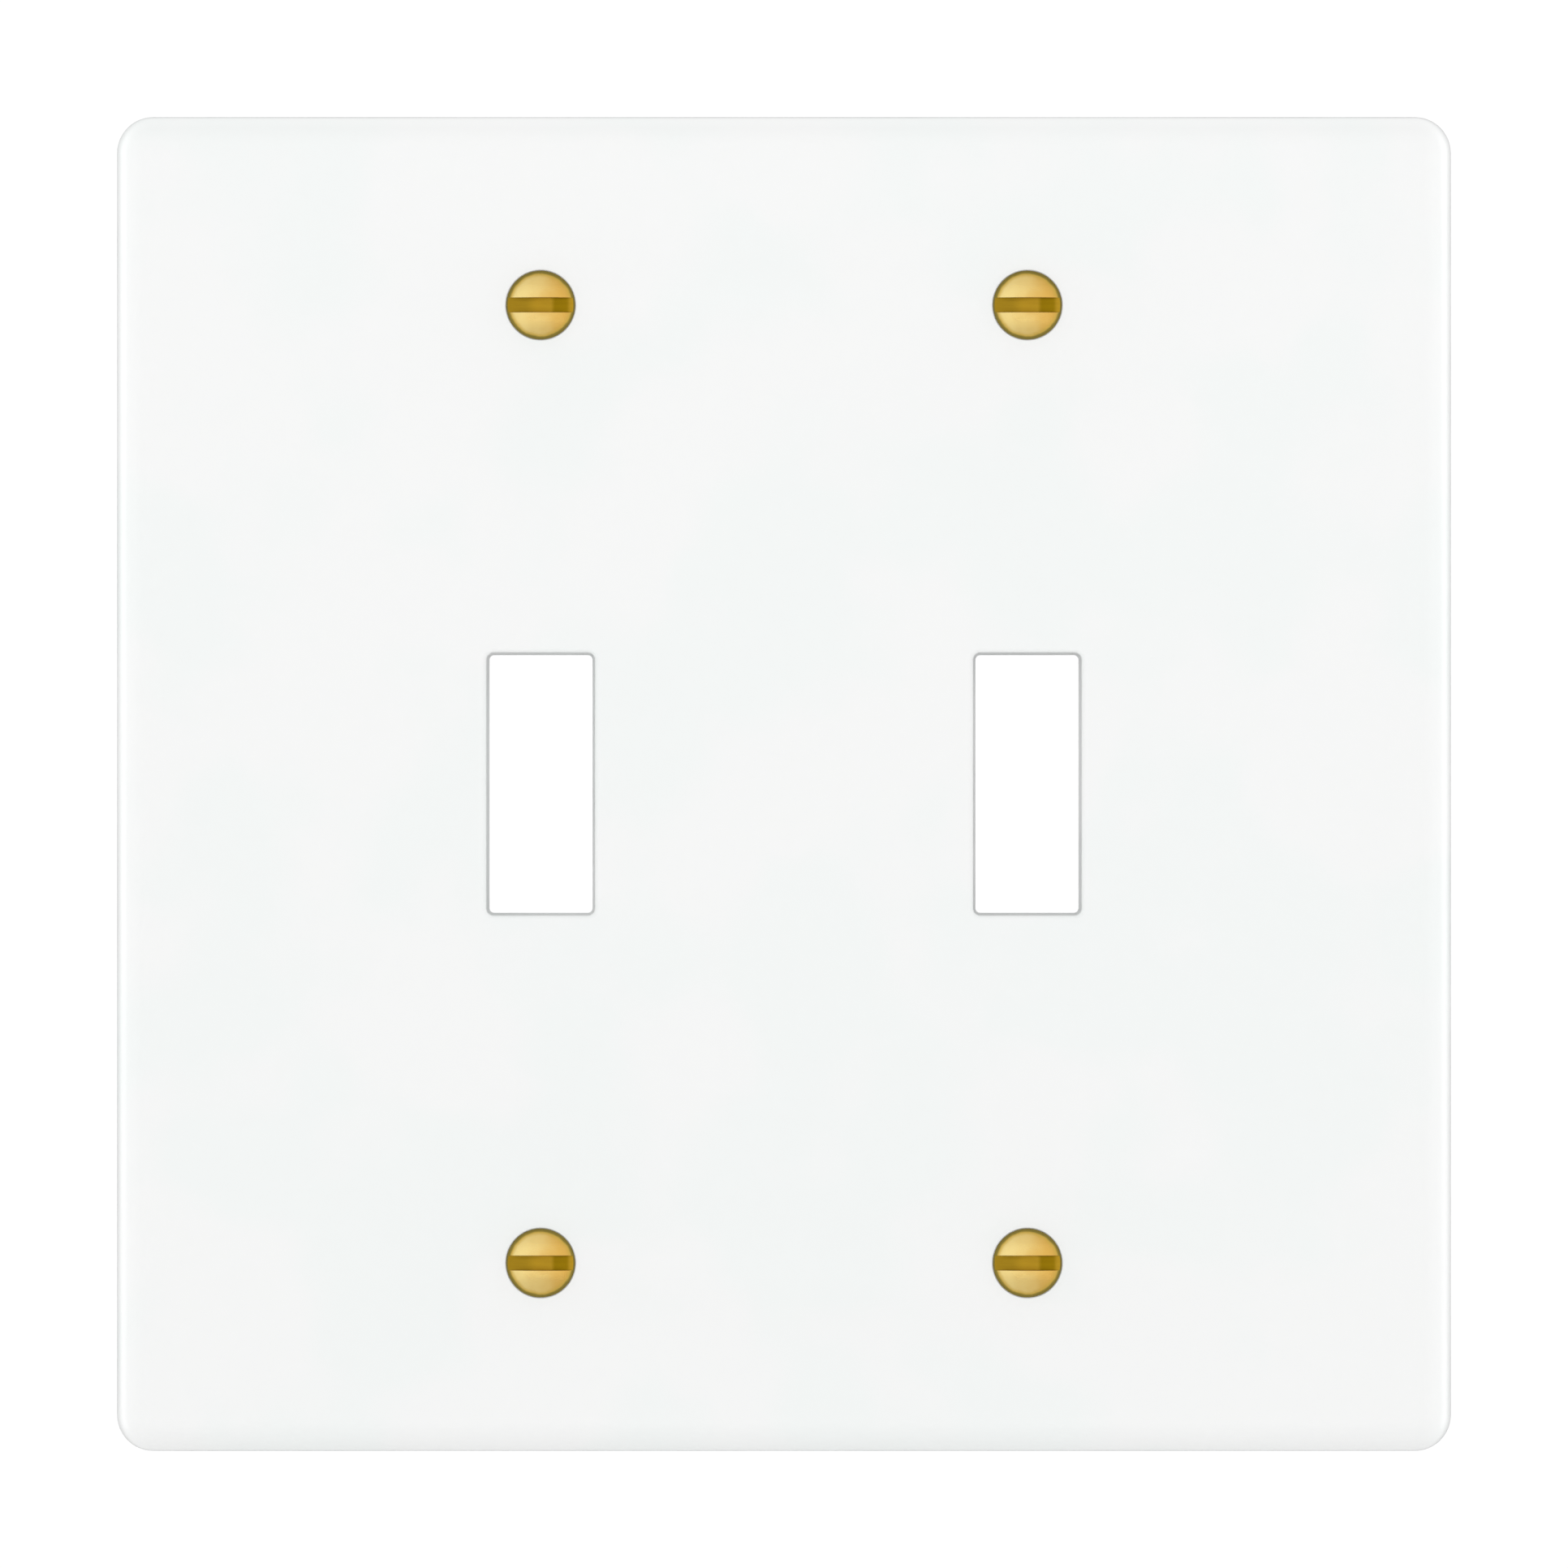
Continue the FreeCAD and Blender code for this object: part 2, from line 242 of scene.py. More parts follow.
def add_opening(bm, across):
    """One toggle opening and its collar. Returns its loops in the web's two faces."""
    half_x, half_z, corner = OPENING[0] / 2, OPENING[1] / 2, OPENING[2]
    collar_x, collar_z, collar_corner = COLLAR[0] / 2, COLLAR[1] / 2, COLLAR[2]
    back = WEB_BACK - COLLAR_HEIGHT

    def through(grow, depth):
        return rounded(half_x + grow, half_z + grow, corner + grow, depth, across)

    def around(inset, depth):
        return rounded(collar_x - inset, collar_z - inset, collar_corner - inset, depth, across)

    spread = (PLATE_DEPTH - back) * math.tan(OPENING_DRAFT)
    turn = math.pi / 2 - OPENING_DRAFT
    reach = OPENING_LIP * math.tan(turn / 2)
    lip = [through(spread + reach - OPENING_LIP * math.sin(a), PLATE_DEPTH - OPENING_LIP * (1 - math.cos(a)))
           for a in arc(0, math.degrees(turn), ARC_STEPS)]
    tail = [through(BACK_ROUND * (1 - math.cos(a)), back + BACK_ROUND * (1 - math.sin(a)))
            for a in arc(0, 90, ROUND_STEPS)]
    top_inset = COLLAR_HEIGHT * BACK_DRAFT
    crest = [around(top_inset + BACK_ROUND * (1 - math.sin(a)), back + BACK_ROUND * (1 - math.cos(a)))
             for a in arc(0, 90, ROUND_STEPS)]
    flat = through(spread + reach + LIP_STRIP, PLATE_DEPTH)
    front = [add_ring(bm, ring) for ring in [flat] + lip + tail[:1]]
    rear = [front[-1]] + [add_ring(bm, ring) for ring in tail[1:] + crest + [around(0, WEB_BACK)]]
    loft(bm, front)
    loft(bm, rear, material=1)
    return front[0], rear[-1]


def add_screw_hole(bm, across, up):
    """One countersunk hole and its boss. Returns its loops in the web's two faces."""
    sink_end = PLATE_DEPTH - (SINK_RADIUS - HOLE_RADIUS) / SINK_SLOPE
    back = WEB_BACK - BOSS_HEIGHT
    boss_top = BOSS_RADIUS - BOSS_HEIGHT * BACK_DRAFT
    front_spots = [(SINK_RADIUS + grow, PLATE_DEPTH - drop) for grow, drop in SINK_BREAK]
    front_spots.append((HOLE_RADIUS, sink_end))
    rear_spots = [(HOLE_RADIUS, back + HOLE_BREAK), (HOLE_RADIUS + HOLE_BREAK, back)]
    rear_spots += [(boss_top - BACK_ROUND * (1 - math.sin(a)), back + BACK_ROUND * (1 - math.cos(a)))
                   for a in arc(0, 90, ROUND_STEPS)]
    rear_spots.append((BOSS_RADIUS, WEB_BACK))
    front = [add_ring(bm, circle(radius, depth, across, up)) for radius, depth in front_spots]
    rear = [add_ring(bm, circle(radius, depth, across, up)) for radius, depth in rear_spots]
    loft(bm, front + rear[:1])
    loft(bm, rear, material=1)
    return front[0], rear[-1]


def add_pin_mark(bm, across, up):
    """The low disc that an ejector pin leaves. Returns its loop in the web's back."""
    rings = [add_ring(bm, circle(MARK_RADIUS - inset, WEB_BACK - height, across, up))
             for inset, height in MARK_BREAK]
    loft(bm, rings, material=1)
    fill(bm, rings[-1:], material=1)
    return rings[0]


def rib_outline(half, depth):
    """The outline of the upright rib and the two that cross it."""
    reach = PLATE_HALF - WALL / 2
    low, high = RIB_LEVEL - half, RIB_LEVEL + half
    right = [(half, -reach), (half, -high), (reach, -high), (reach, -low), (half, -low),
             (half, low), (reach, low), (reach, high), (half, high), (half, reach)]
    return [(x, -depth, z) for x, z in right + [(-x, -z) for x, z in right]]


def rib_mesh():
    """The three ribs as one closed mesh, with its foot inside the web and its ends inside the wall."""
    bm = bmesh.new()
    spots = [(RIB_HALF + RIB_FOOT * BACK_DRAFT, -RIB_FOOT), (RIB_HALF, 0)]
    top_half = RIB_HALF - RIB_HEIGHT * BACK_DRAFT
    spots += [(top_half - BACK_ROUND * (1 - math.cos(a)), RIB_HEIGHT - BACK_ROUND * (1 - math.sin(a)))
              for a in arc(0, 90, ROUND_STEPS)]
    rings = [add_ring(bm, rib_outline(half, WEB_BACK - height)) for half, height in spots]
    loft(bm, rings)
    bm.faces.new(rings[0])
    bm.faces.new(rings[-1])
    for face in bm.faces:
        face.material_index = 1
    return finished_mesh(bm, "ribs")


def joined(first, second):
    """The union of two closed meshes."""
    base = add_object("union_base", first)
    other = add_object("union_other", second)
    union = base.modifiers.new("Union", "BOOLEAN")
    union.operation = "UNION"
    union.solver = "EXACT"
    union.object = other
    union.material_mode = "INDEX"
    result = bpy.data.meshes.new_from_object(base.evaluated_get(bpy.context.evaluated_depsgraph_get()))
    for item in (base, other):
        bpy.data.objects.remove(item)
    bm = bmesh.new()
    bm.from_mesh(result)
    bmesh.ops.remove_doubles(bm, verts=bm.verts, dist=1e-8)
    mark_edges(bm)
    bm.to_mesh(result)
    bm.free()
    return result


def plate_mesh():
    """The whole moulding as one closed mesh. Material 0 is its show face and edges, and 1 its back."""
    bm = bmesh.new()
    loops = [add_shell(bm)]
    for side in SIDES.values():
        loops.append(add_opening(bm, side * GANG / 2))
        loops += [add_screw_hole(bm, side * GANG / 2, level * SCREW_UP) for level in LEVELS.values()]
    fill(bm, [front for front, back in loops])
    fill(bm, [back for front, back in loops] + [add_pin_mark(bm, *spot) for spot in MARK_PLACES], material=1)
    return joined(finished_mesh(bm, "plate_shell"), rib_mesh())


# ---------------------------------------------------------------- the screw

SLOT_COLUMNS = 36
SLOT_ACROSS = 6
CROWN_ROWS = 12
SLOT_ROUND_STEPS = 4
SLOT_WALL_ROWS = 3
RIM_ROUND_STEPS = 10
BAND_ROWS = 3
CONE_RING = 0.35
NECK_STEP = 0.1
NECK_BREAK = 0.05


def crown_height(radius):
    """The crown's height at a distance from the screw's axis."""
    return HEAD_LAND + HEAD_CROWN - CROWN_RADIUS + math.sqrt(CROWN_RADIUS ** 2 - radius ** 2)


def rim_levels():
    """Radius and height of the rings from the level of the slot's floor out over the rim to the cone."""
    lean = math.acos((HEAD_RADIUS - HEAD_ROUND) / (CROWN_RADIUS - HEAD_ROUND))
    middle = HEAD_LAND + HEAD_CROWN - CROWN_RADIUS + (CROWN_RADIUS - HEAD_ROUND) * math.sin(lean)
    levels = [(HEAD_RADIUS - HEAD_ROUND * (1 - math.cos(a)), middle + HEAD_ROUND * math.sin(a))
              for a in arc(math.degrees(lean), -SINK_ANGLE / 2, RIM_ROUND_STEPS)]
    gap = levels[0][0] - FLOOR_RADIUS
    band = [FLOOR_RADIUS + gap * step / BAND_ROWS for step in range(1, BAND_ROWS)]
    return [(radius, crown_height(radius)) for radius in band] + levels


def head_column(bm, rim):
    """Vertices from the rim over the crown to the slot, round the slot's edge and down its wall."""
    x, reach = rim.co.x, abs(rim.co.z)
    side = math.copysign(1, rim.co.z)
    wall = crown_height(math.hypot(x, SLOT_HALF)) - SLOT_FLOOR
    if wall < 1e-6:
        return [rim] * (CROWN_ROWS + SLOT_ROUND_STEPS + SLOT_WALL_ROWS + 1)
    edge_round = min(SLOT_ROUND, wall / 2)
    edge = SLOT_HALF + edge_round
    top = crown_height(math.hypot(x, edge))
    spots = []
    for row in range(1, CROWN_ROWS + 1):
        z = reach + (edge - reach) * row / CROWN_ROWS
        spots.append((z, crown_height(math.hypot(x, z))))
    for a in arc(0, 90, SLOT_ROUND_STEPS)[1:]:
        spots.append((edge - edge_round * math.sin(a), top - edge_round * (1 - math.cos(a))))
    for row in range(1, SLOT_WALL_ROWS + 1):
        spots.append((SLOT_HALF, top - edge_round - (top - edge_round - SLOT_FLOOR) * row / SLOT_WALL_ROWS))
    return [rim] + add_ring(bm, [(x, -height, side * z) for z, height in spots])


def add_head(bm):
    """The crown with its slot, and the rim round it. Returns the ring that the cone starts from."""
    start = math.degrees(math.asin(SLOT_HALF / FLOOR_RADIUS))
    across = 180 - 2 * start

    def spread(first, turn, steps):
        angles = arc(first, first + turn, steps)
        return [(FLOOR_RADIUS * math.cos(a), -SLOT_FLOOR, FLOOR_RADIUS * math.sin(a)) for a in angles]

    upper = add_ring(bm, spread(start, across, SLOT_COLUMNS))
    lower = add_ring(bm, spread(180 + start, across, SLOT_COLUMNS))
    left = add_ring(bm, spread(180 - start, 2 * start, SLOT_ACROSS)[1:-1])
    right = add_ring(bm, spread(-start, 2 * start, SLOT_ACROSS)[1:-1])

    floor_rows = []
    for rim in (upper, lower):
        columns = [head_column(bm, vertex) for vertex in rim]
        shown = CROWN_ROWS + SLOT_ROUND_STEPS
        loft(bm, [column[:shown + 1] for column in columns], closed=False)
        loft(bm, [column[shown:] for column in columns], material=1, closed=False)
        floor_rows.append([column[-1] for column in columns])

    # the slot's floor, in rows along the slot whose ends lie on the ring
    rows = [floor_rows[0]]
    for right_end, left_end in zip(reversed(right), left):
        reach = right_end.co.x / upper[0].co.x
        row = [(vertex.co.x * reach, -SLOT_FLOOR, right_end.co.z) for vertex in upper[1:-1]]
        rows.append([right_end] + add_ring(bm, row) + [left_end])
    rows.append(list(reversed(floor_rows[1])))
    loft(bm, rows, material=1, closed=False)

    rings = [upper + left + lower + right]
    for radius, height in rim_levels():
        grow = radius / FLOOR_RADIUS
        rings.append(add_ring(bm, [(v.co.x * grow, -height, v.co.z * grow) for v in rings[0]]))
    loft(bm, rings)
    return rings[-1]


def add_shank(bm, ring):
    """The cone, the neck and the right-hand thread below a full ring of the head. The ring runs clockwise."""
    angles = [-math.atan2(vertex.co.z, vertex.co.x) % (2 * math.pi) for vertex in ring]
    start = angles.index(min(angles))
    ring = ring[start:] + ring[:start]
    angles = angles[start:] + angles[:start]
    turns = [angle / (2 * math.pi) for angle in angles]

    def level(radius, height):
        return add_ring(bm, [(radius * math.cos(a), -height, -radius * math.sin(a)) for a in angles])

    first = NECK_END + NECK_STEP
    smooth = [ring, level(NECK_RADIUS + CONE_RING, CONE_END + CONE_RING / SINK_SLOPE),
              level(NECK_RADIUS + NECK_BREAK, CONE_END), level(NECK_RADIUS, CONE_END - NECK_STEP),
              level(NECK_RADIUS, first)]
    loft(bm, smooth, material=2)

    # rows that follow the helix, four to each turn: root, crest, crest, root
    profile = [(1 / 8, THREAD_ROOT), (7 / 16, THREAD_CREST), (9 / 16, THREAD_CREST), (7 / 8, THREAD_ROOT)]
    turn_count = math.ceil((SCREW_LENGTH + first) / THREAD_PITCH) + 1
    rows = []
    for turn_number in range(turn_count):
        for part, radius in profile:
            points = []
            for turn, angle in zip(turns, angles):
                along = turn_number + part + turn
                grown = min(1.0, max(0.0, along - THREAD_FADE_TURNS))
                depth = along * THREAD_PITCH
                point = POINT_RADIUS + max(0.0, SCREW_LENGTH + first - depth)
                thick = min(NECK_RADIUS + (radius - NECK_RADIUS) * grown, point)
                points.append((thick * math.cos(angle), depth - first, -thick * math.sin(angle)))
            rows.append(add_ring(bm, points))
    for near, far in zip([smooth[-1]] + rows, rows):
        for index in range(1, len(near)):
            bm.faces.new((near[index - 1], near[index], far[index], far[index - 1])).material_index = 2
    steps = len(profile)
    seam = [smooth[-1][-1], smooth[-1][0]] + [row[0] for row in rows[:steps + 1]] + [rows[0][-1]]
    bm.faces.new(seam).material_index = 2
    for index in range(1, len(rows) - steps):
        corners = (rows[index - 1][-1], rows[index][-1], rows[index + steps][0], rows[index + steps - 1][0])
        bm.faces.new(corners).material_index = 2

    # the screw's flat end
    everything = bm.verts[:] + bm.edges[:] + bm.faces[:]
    cut = bmesh.ops.bisect_plane(
        bm, geom=everything, plane_co=(0, SCREW_LENGTH, 0), plane_no=(0, 1, 0), clear_outer=True)
    ends = [item for item in cut["geom_cut"] if isinstance(item, bmesh.types.BMEdge)]
    for item in bmesh.ops.triangle_fill(bm, edges=ends, use_beauty=True)["geom"]:
        if isinstance(item, bmesh.types.BMFace):
            item.material_index = 2


def screw_mesh():
    """A slotted oval-head screw. Material 0 is its crown, 1 its slot, and 2 its cone and thread."""
    bm = bmesh.new()
    edge = add_head(bm)
    add_shank(bm, list(reversed(edge)))
    return finished_mesh(bm, "screw")


# ---------------------------------------------------------------- materials

PLASTIC_COOL, PLASTIC_WARM = (0.870, 0.892, 0.884, 1), (0.890, 0.896, 0.892, 1)
BACK_DARK, BACK_LIGHT = (0.80, 0.815, 0.805, 1), (0.84, 0.85, 0.845, 1)
PLASTIC_IOR = 1.5
# The pale brass paints a sheen on one side of each crown, mixed with uneven tarnish. The deep brass is the
# other side.
BRASS_PALE_SHEEN, BRASS_DEEP = (0.80, 0.625, 0.245, 1), (0.66, 0.395, 0.085, 1)
# Next, a darker brass that paints shade where the crown curves down to its rim, and a ring round the rim that
# is partly tarnish and partly painted shade.
BRASS_RIM_SHADE, BRASS_TARNISH_AND_SHADE = (0.60, 0.40, 0.075, 1), (0.24, 0.185, 0.04, 1)
# The slot's base colour is painted shade in the slot, and its lighter and darker bands are painted
# reflections.
SLOT_PAINTED_SHADE, SLOT_LIGHT_REFLECTION, SLOT_DARK_REFLECTION = (0.33, 0.20, 0.013, 1), (0.42, 0.25, 0.018, 1), (0.275, 0.165, 0.004, 1)
# The thread's darker colour is painted shade in its roots, and its brighter colour a painted highlight on its
# crests.
THREAD_ROOT_SHADE, THREAD_CREST_HIGHLIGHT = (0.46, 0.30, 0.085, 1), (0.72, 0.50, 0.17, 1)
FLOOR_DARK, FLOOR_LIGHT = (0.90, 0.90, 0.898, 1), (0.915, 0.915, 0.913, 1)
# where one colour gives way to the next, in millimetres: along the slot's direction, or out from the axis
CROWN_SHEEN_FADE = (-2.8, 3.0)
RIM_SHADE_BAND = (2.55, 3.0)
TARNISH_AND_SHADE_BAND = (2.86, 3.08)
SLOT_REFLECTION_BANDS = (((-1.6, -0.2), SLOT_LIGHT_REFLECTION), ((0.9, 1.4), SLOT_DARK_REFLECTION), ((2.4, 2.9), SLOT_LIGHT_REFLECTION))


def new_material(name):
    """An empty node material with its output."""
    material = bpy.data.materials.new(name)
    material.use_nodes = True
    material.node_tree.nodes.clear()
    return material


def add_node(tree, kind, inputs=None, **settings):
    """A node with its settings, and its inputs set to values or linked to other nodes' outputs."""
    node = tree.nodes.new(kind)
    for name, setting in settings.items():
        setattr(node, name, setting)
    for name, source in (inputs or {}).items():
        if isinstance(source, bpy.types.NodeSocket):
            tree.links.new(source, node.inputs[name])
        else:
            node.inputs[name].default_value = source
    return node


def noise(tree, size, coordinates, detail=3.0):
    """Noise whose features are about this many millimetres across."""
    inputs = {"Vector": coordinates, "Scale": 1 / (size * MM), "Detail": detail}
    return add_node(tree, "ShaderNodeTexNoise", inputs).outputs["Fac"]


def mapped(tree, source, low, high, to_low, to_high, kind="SMOOTHSTEP"):
    """A value carried from one range to another, and held at its ends."""
    inputs = {"Value": source, "From Min": low, "From Max": high, "To Min": to_low, "To Max": to_high}
    return add_node(tree, "ShaderNodeMapRange", inputs, interpolation_type=kind).outputs["Result"]


def mixed(tree, share, first, second):
    """A colour between two colours."""
    node = add_node(tree, "ShaderNodeMix", data_type="RGBA")
    for socket, source in ((node.inputs[0], share), (node.inputs[6], first), (node.inputs[7], second)):
        if isinstance(source, bpy.types.NodeSocket):
            tree.links.new(source, socket)
        else:
            socket.default_value = source
    return node.outputs[2]


def added(tree, first, second):
    """The sum of two values."""
    return add_node(tree, "ShaderNodeMath", {0: first, 1: second}, operation="ADD").outputs[0]


def bumped(tree, height, distance):
    """A normal for a height that is this many millimetres at full scale."""
    inputs = {"Height": height, "Distance": distance * MM, "Strength": 1.0}
    return add_node(tree, "ShaderNodeBump", inputs).outputs["Normal"]


def object_place(tree):
    """The coordinates of the piece itself, in metres."""
    return add_node(tree, "ShaderNodeTexCoord").outputs["Object"]


def stretched(tree, coordinates, scale):
    """The coordinates scaled by a factor along each axis."""
    return add_node(tree, "ShaderNodeMapping", {"Vector": coordinates, "Scale": scale}).outputs["Vector"]


def surface(tree, **inputs):
    """The shader, joined to the output."""
    inputs = {name.replace("_", " "): source for name, source in inputs.items()}
    shader = add_node(tree, "ShaderNodeBsdfPrincipled", inputs)
    add_node(tree, "ShaderNodeOutputMaterial", {"Surface": shader.outputs["BSDF"]})
    return shader


def show_face_material():
    """Glossy white moulded plastic, with a trace of orange peel and of uneven tint."""
    material = new_material("plate_face")
    tree = material.node_tree
    place = object_place(tree)
    tint = mixed(tree, mapped(tree, noise(tree, 17, place, 2.0), 0.42, 0.58, 0, 1),
                 PLASTIC_COOL, PLASTIC_WARM)
    gloss = mapped(tree, noise(tree, 9, place, 2.0), 0.3, 0.7, 0.28, 0.34)
    peel = bumped(tree, noise(tree, 1.5, place, 1.0), 0.004)
    surface(tree, Base_Color=tint, Roughness=gloss, Normal=peel, IOR=PLASTIC_IOR)
    return material


def back_material():
    """The same plastic where the mould was left rough, so duller and finely pebbled."""
    material = new_material("plate_back")
    tree = material.node_tree
    place = object_place(tree)
    tint = mixed(tree, mapped(tree, noise(tree, 9, place, 3.0), 0.35, 0.65, 0, 1),
                 BACK_DARK, BACK_LIGHT)
    gloss = mapped(tree, noise(tree, 5, place, 2.0), 0.3, 0.7, 0.5, 0.6)
    pebbles = bumped(tree, noise(tree, 0.8, place, 1.0), 0.010)
    surface(tree, Base_Color=tint, Roughness=gloss, Normal=pebbles, IOR=PLASTIC_IOR)
    return material


def radius_of(tree, coordinates):
    """The distance from the screw's axis, in millimetres."""
    flat = stretched(tree, coordinates, (1 / MM, 0, 1 / MM))
    return add_node(tree, "ShaderNodeVectorMath", {0: flat}, operation="LENGTH").outputs["Value"]


def along_slot(tree, coordinates):
    """The distance along the slot from the screw's axis, in millimetres."""
    scaled = stretched(tree, coordinates, (1 / MM, 1 / MM, 1 / MM))
    return add_node(tree, "ShaderNodeSeparateXYZ", {"Vector": scaled}).outputs["X"]


def crown_material():
    """Polished brass: paler on one side, partly uneven tarnish and partly a painted sheen, and darker round
    its rim, partly tarnish and partly painted shade.
    """
    material = new_material("brass_crown")
    tree = material.node_tree
    place = object_place(tree)
    # Along the slot's direction: from a painted sheen, mixed with uneven tarnish, on one side to deeper brass
    # on the other.
    wander = mapped(tree, noise(tree, 2.2, place, 2.0), 0.2, 0.8, -0.9, 0.9)
    across = added(tree, along_slot(tree, place), wander)
    sheened_metal = mixed(tree, mapped(tree, across, *CROWN_SHEEN_FADE, 0, 1), BRASS_PALE_SHEEN, BRASS_DEEP)
    # Out from the axis: painted shade as the crown curves down, then a ring at the rim that is partly tarnish
    # and partly painted shade.
    drift = mapped(tree, noise(tree, 1.1, place, 2.0), 0.2, 0.8, -0.05, 0.05)
    reach = added(tree, radius_of(tree, place), drift)
    rim_shaded = mixed(tree, mapped(tree, reach, *RIM_SHADE_BAND, 0, 1), sheened_metal, BRASS_RIM_SHADE)
    colour = mixed(tree, mapped(tree, reach, *TARNISH_AND_SHADE_BAND, 0, 1), rim_shaded, BRASS_TARNISH_AND_SHADE)
    polish = mapped(tree, noise(tree, 1.2, stretched(tree, place, (0.25, 1, 1)), 1.0), 0.3, 0.7, 0.26, 0.34)
    dents = bumped(tree, noise(tree, 1.0, place, 1.0), 0.004)
    surface(tree, Base_Color=colour, Metallic=1.0, Roughness=polish, Normal=dents)
    return material


def slot_material():
    """The milled slot: dull brass, painted dark brown for the shade in the slot, with painted reflections
    that make it lighter near its middle and at its ends and darker past its middle.
    """
    material = new_material("brass_slot")
    tree = material.node_tree
    place = object_place(tree)
    lines = noise(tree, 0.22, stretched(tree, place, (0.06, 1, 1)), 1.0)
    along = along_slot(tree, place)
    # A brown that paints the shade in the slot, then bands along it that paint its reflections.
    colour = SLOT_PAINTED_SHADE
    for band, next_colour in SLOT_REFLECTION_BANDS:
        colour = mixed(tree, mapped(tree, along, *band, 0, 1), colour, next_colour)
    surface(tree, Base_Color=colour, Metallic=1.0, Roughness=mapped(tree, lines, 0.3, 0.7, 0.4, 0.5),
            Normal=bumped(tree, lines, 0.002))
    return material


def thread_material():
    """Plain brass, with a painted highlight on the crests and painted shade in the roots."""
    material = new_material("brass_thread")
    tree = material.node_tree
    place = object_place(tree)
    # Painted shade in the roots and a painted highlight on the crests, by the distance from the axis.
    crest = mapped(tree, radius_of(tree, place), THREAD_ROOT, THREAD_CREST, 0, 1)
    colour = mixed(tree, crest, THREAD_ROOT_SHADE, THREAD_CREST_HIGHLIGHT)
    polish = mapped(tree, noise(tree, 0.4, place, 3.0), 0.3, 0.7, 0.3, 0.42)
    rolled = bumped(tree, noise(tree, 0.3, stretched(tree, place, (1, 0.3, 1)), 1.0), 0.003)
    surface(tree, Base_Color=colour, Metallic=1.0, Roughness=polish, Normal=rolled)
    return material


def floor_material():
    """A pale floor that fades out towards its edge."""
    material = new_material("pale_floor")
    tree = material.node_tree
    place = object_place(tree)
    reach = add_node(tree, "ShaderNodeVectorMath", {0: place}, operation="LENGTH").outputs["Value"]
    tone = mixed(tree, mapped(tree, noise(tree, 60, place, 2.0), 0.3, 0.7, 0, 1),
                 FLOOR_DARK, FLOOR_LIGHT)
    shader = add_node(tree, "ShaderNodeBsdfPrincipled", {"Base Color": tone, "Roughness": 0.7})
    clear = add_node(tree, "ShaderNodeBsdfTransparent")
    share = mapped(tree, reach, FLOOR_CLEAR, FLOOR_HALF, 0, 1)
    mix = add_node(tree, "ShaderNodeMixShader", {0: share, 1: shader.outputs[0], 2: clear.outputs[0]})
    add_node(tree, "ShaderNodeOutputMaterial", {"Surface": mix.outputs[0]})
    return material


# ---------------------------------------------------------------- the studio

FRAME_WIDTH = 0.1483
CAMERA_DISTANCE = 2.0
SENSOR = 36.0
CLIP_END = 20
FLOOR_HALF = 0.7
FLOOR_CLEAR = 0.385
FLOOR_LEVEL = -0.32


def add_camera():
    """A long lens, level with the middle of the plate and square to it."""
    camera = bpy.data.cameras.new("camera")
    camera.sensor_width = SENSOR
    camera.lens = SENSOR * (CAMERA_DISTANCE + plate_low.y) / FRAME_WIDTH
    camera.clip_end = CLIP_END
    item = bpy.data.objects.new("camera", camera)
    item.location = (0, -CAMERA_DISTANCE, 0)
    item.rotation_euler = (math.pi / 2, 0, 0)
    bpy.context.scene.collection.objects.link(item)
    bpy.context.scene.camera = item


def angle_share(degrees):
    """Where an angle from the front axis lies on the light's ramp."""
    return (1 - math.cos(math.radians(degrees))) / 2


def add_ramp(tree, share, stops):
    """A ramp of light by the angle from the front axis. A stop is an angle, and a grey level or a colour."""
    ramp = add_node(tree, "ShaderNodeValToRGB", {"Fac": share})
    elements = ramp.color_ramp.elements
    elements[0].position = 0
    while len(elements) > 1:
        elements.remove(elements[-1])
    for number, (degrees, level) in enumerate(stops):
        element = elements[0] if number == 0 else elements.new(angle_share(degrees))
        element.position = angle_share(degrees)
        colour = level if isinstance(level, tuple) else (level,) * 3
        element.color = (*[channel / LIGHT_TOP for channel in colour], 1)
    return ramp.outputs["Color"]


# The light's levels, by degrees from the front axis: for the sides, for above and for below.
LIGHT_TOP = 2.5
BACKDROP_CORE = math.cos(math.radians(8))
BACKDROP_EDGE = math.cos(math.radians(14))
BACKDROP_PALE, BACKDROP_WHITE = (0.78, 0.785, 0.785, 1), (1.05, 1.05, 1.05, 1)
SIDE_WHITE = (2.28, 2.30, 2.30)
SIDE_LIGHT = [(0, 1.17), (50, 1.17), (72, 0.77), (88, 0.73), (94, SIDE_WHITE), (112, SIDE_WHITE), (124, 0.10)]
UPPER_LIGHT = [(0, 1.02), (50, 1.00), (72, 0.74), (88, 0.72), (93, 1.08), (140, 1.05), (180, 0.92)]
LOWER_LIGHT = [(0, 1.30), (50, 1.30), (72, 1.05), (88, 1.10), (93, 1.45), (110, 1.40), (140, 0.70)]
SLOPE_START = 0.35
SLOPE_END = 0.75


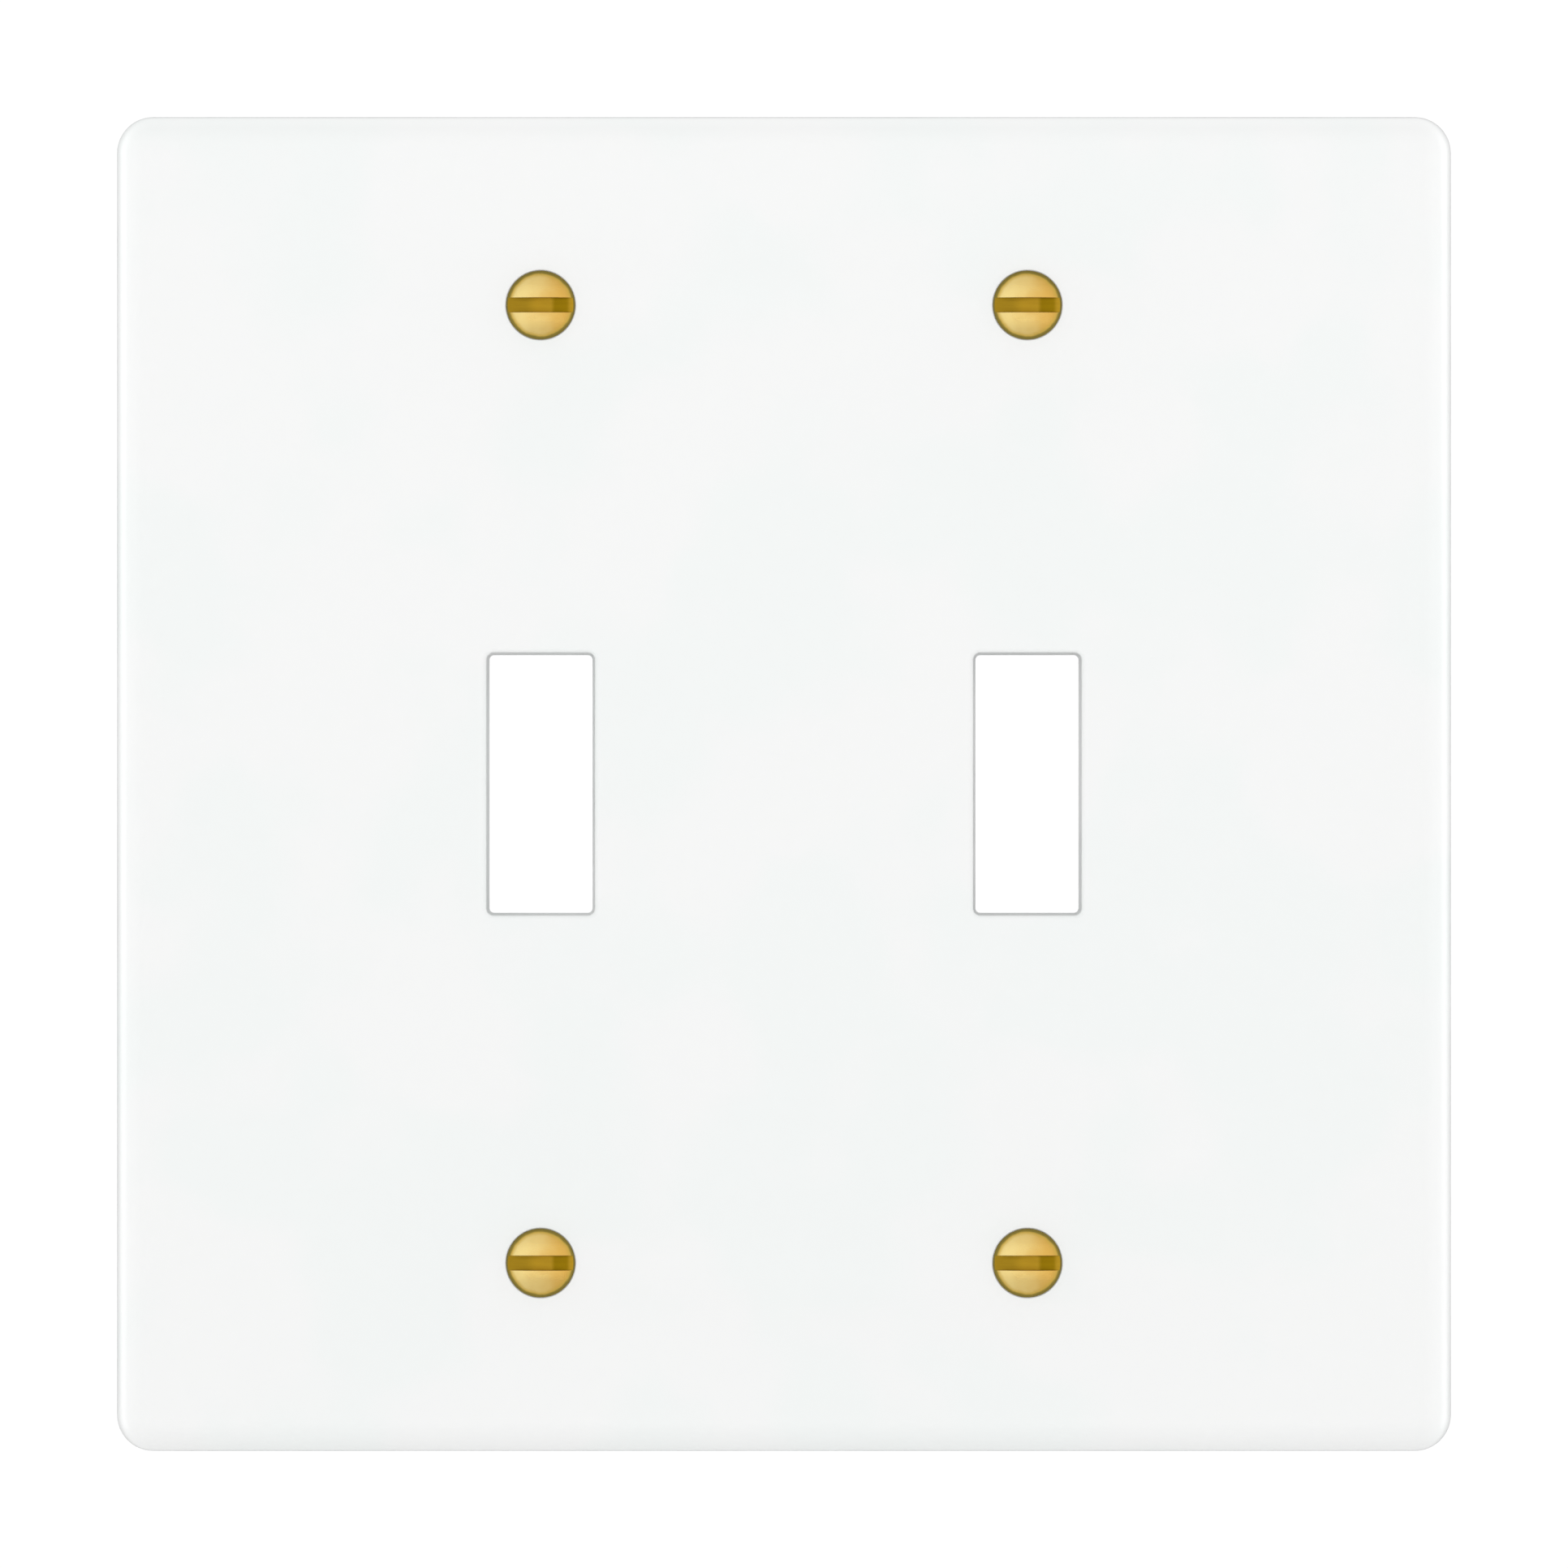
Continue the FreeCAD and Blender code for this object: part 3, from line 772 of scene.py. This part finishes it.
def add_light():
    """Soft light from all round, brightest at the sides. The camera sees white straight behind the object."""
    world = bpy.data.worlds.new("studio")
    world.use_nodes = True
    tree = world.node_tree
    tree.nodes.clear()
    direction = add_node(tree, "ShaderNodeTexCoord").outputs["Generated"]
    parts = add_node(tree, "ShaderNodeSeparateXYZ", {"Vector": direction})
    share = mapped(tree, parts.outputs["Y"], -1, 1, 0, 1, "LINEAR")
    upper = mapped(tree, parts.outputs["Z"], SLOPE_START, SLOPE_END, 0, 1)
    lower = mapped(tree, parts.outputs["Z"], -SLOPE_START, -SLOPE_END, 0, 1)
    raised = mixed(tree, upper, add_ramp(tree, share, SIDE_LIGHT), add_ramp(tree, share, UPPER_LIGHT))
    light = mixed(tree, lower, raised, add_ramp(tree, share, LOWER_LIGHT))
    glow = add_node(tree, "ShaderNodeBackground", {"Color": light, "Strength": LIGHT_TOP})
    behind = mapped(tree, parts.outputs["Y"], BACKDROP_EDGE, BACKDROP_CORE, 0, 1)
    tone = mixed(tree, behind, BACKDROP_PALE, BACKDROP_WHITE)
    backdrop = add_node(tree, "ShaderNodeBackground", {"Color": tone, "Strength": 1.0})
    seen = add_node(tree, "ShaderNodeLightPath").outputs["Is Camera Ray"]
    mix = add_node(tree, "ShaderNodeMixShader", {0: seen, 1: glow.outputs[0], 2: backdrop.outputs[0]})
    add_node(tree, "ShaderNodeOutputWorld", {"Surface": mix.outputs[0]})
    bpy.context.scene.world = world
    bpy.context.scene.view_settings.view_transform = "Standard"


def add_floor():
    """A floor below the view, which only the raised views see."""
    bm = bmesh.new()
    bmesh.ops.create_grid(bm, x_segments=8, y_segments=8, size=FLOOR_HALF)
    mesh = bpy.data.meshes.new("floor")
    bm.to_mesh(mesh)
    bm.free()
    floor = add_object("floor", mesh, (0, 0, FLOOR_LEVEL))
    mesh.materials.append(floor_material())


# ---------------------------------------------------------------- assembly

def add_plate():
    """The moulding in place of its plain CAD mesh."""
    mesh = plate_mesh()
    mesh.materials.clear()
    for material in (show_face_material(), back_material()):
        mesh.materials.append(material)
    plate = add_object("moulded_plate", mesh)
    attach(plate, "plate")
    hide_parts("wall_plate")


def add_screws():
    """The four screws, each at its own CAD node's place, with its slot level."""
    materials = [crown_material(), slot_material(), thread_material()]
    template = screw_mesh()
    for level in LEVELS:
        for side in SIDES:
            node = "screw_%s_%s" % (level, side)
            low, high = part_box(node)
            seat = high.y - SCREW_LENGTH * MM
            mesh = template.copy()
            for material in materials:
                mesh.materials.append(material)
            screw = add_object("brass_" + node, mesh, ((low.x + high.x) / 2, seat, (low.z + high.z) / 2))
            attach(screw, "%s_%s_screw" % (level, side))
            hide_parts(node)


add_camera()
add_light()
add_floor()
add_plate()
add_screws()
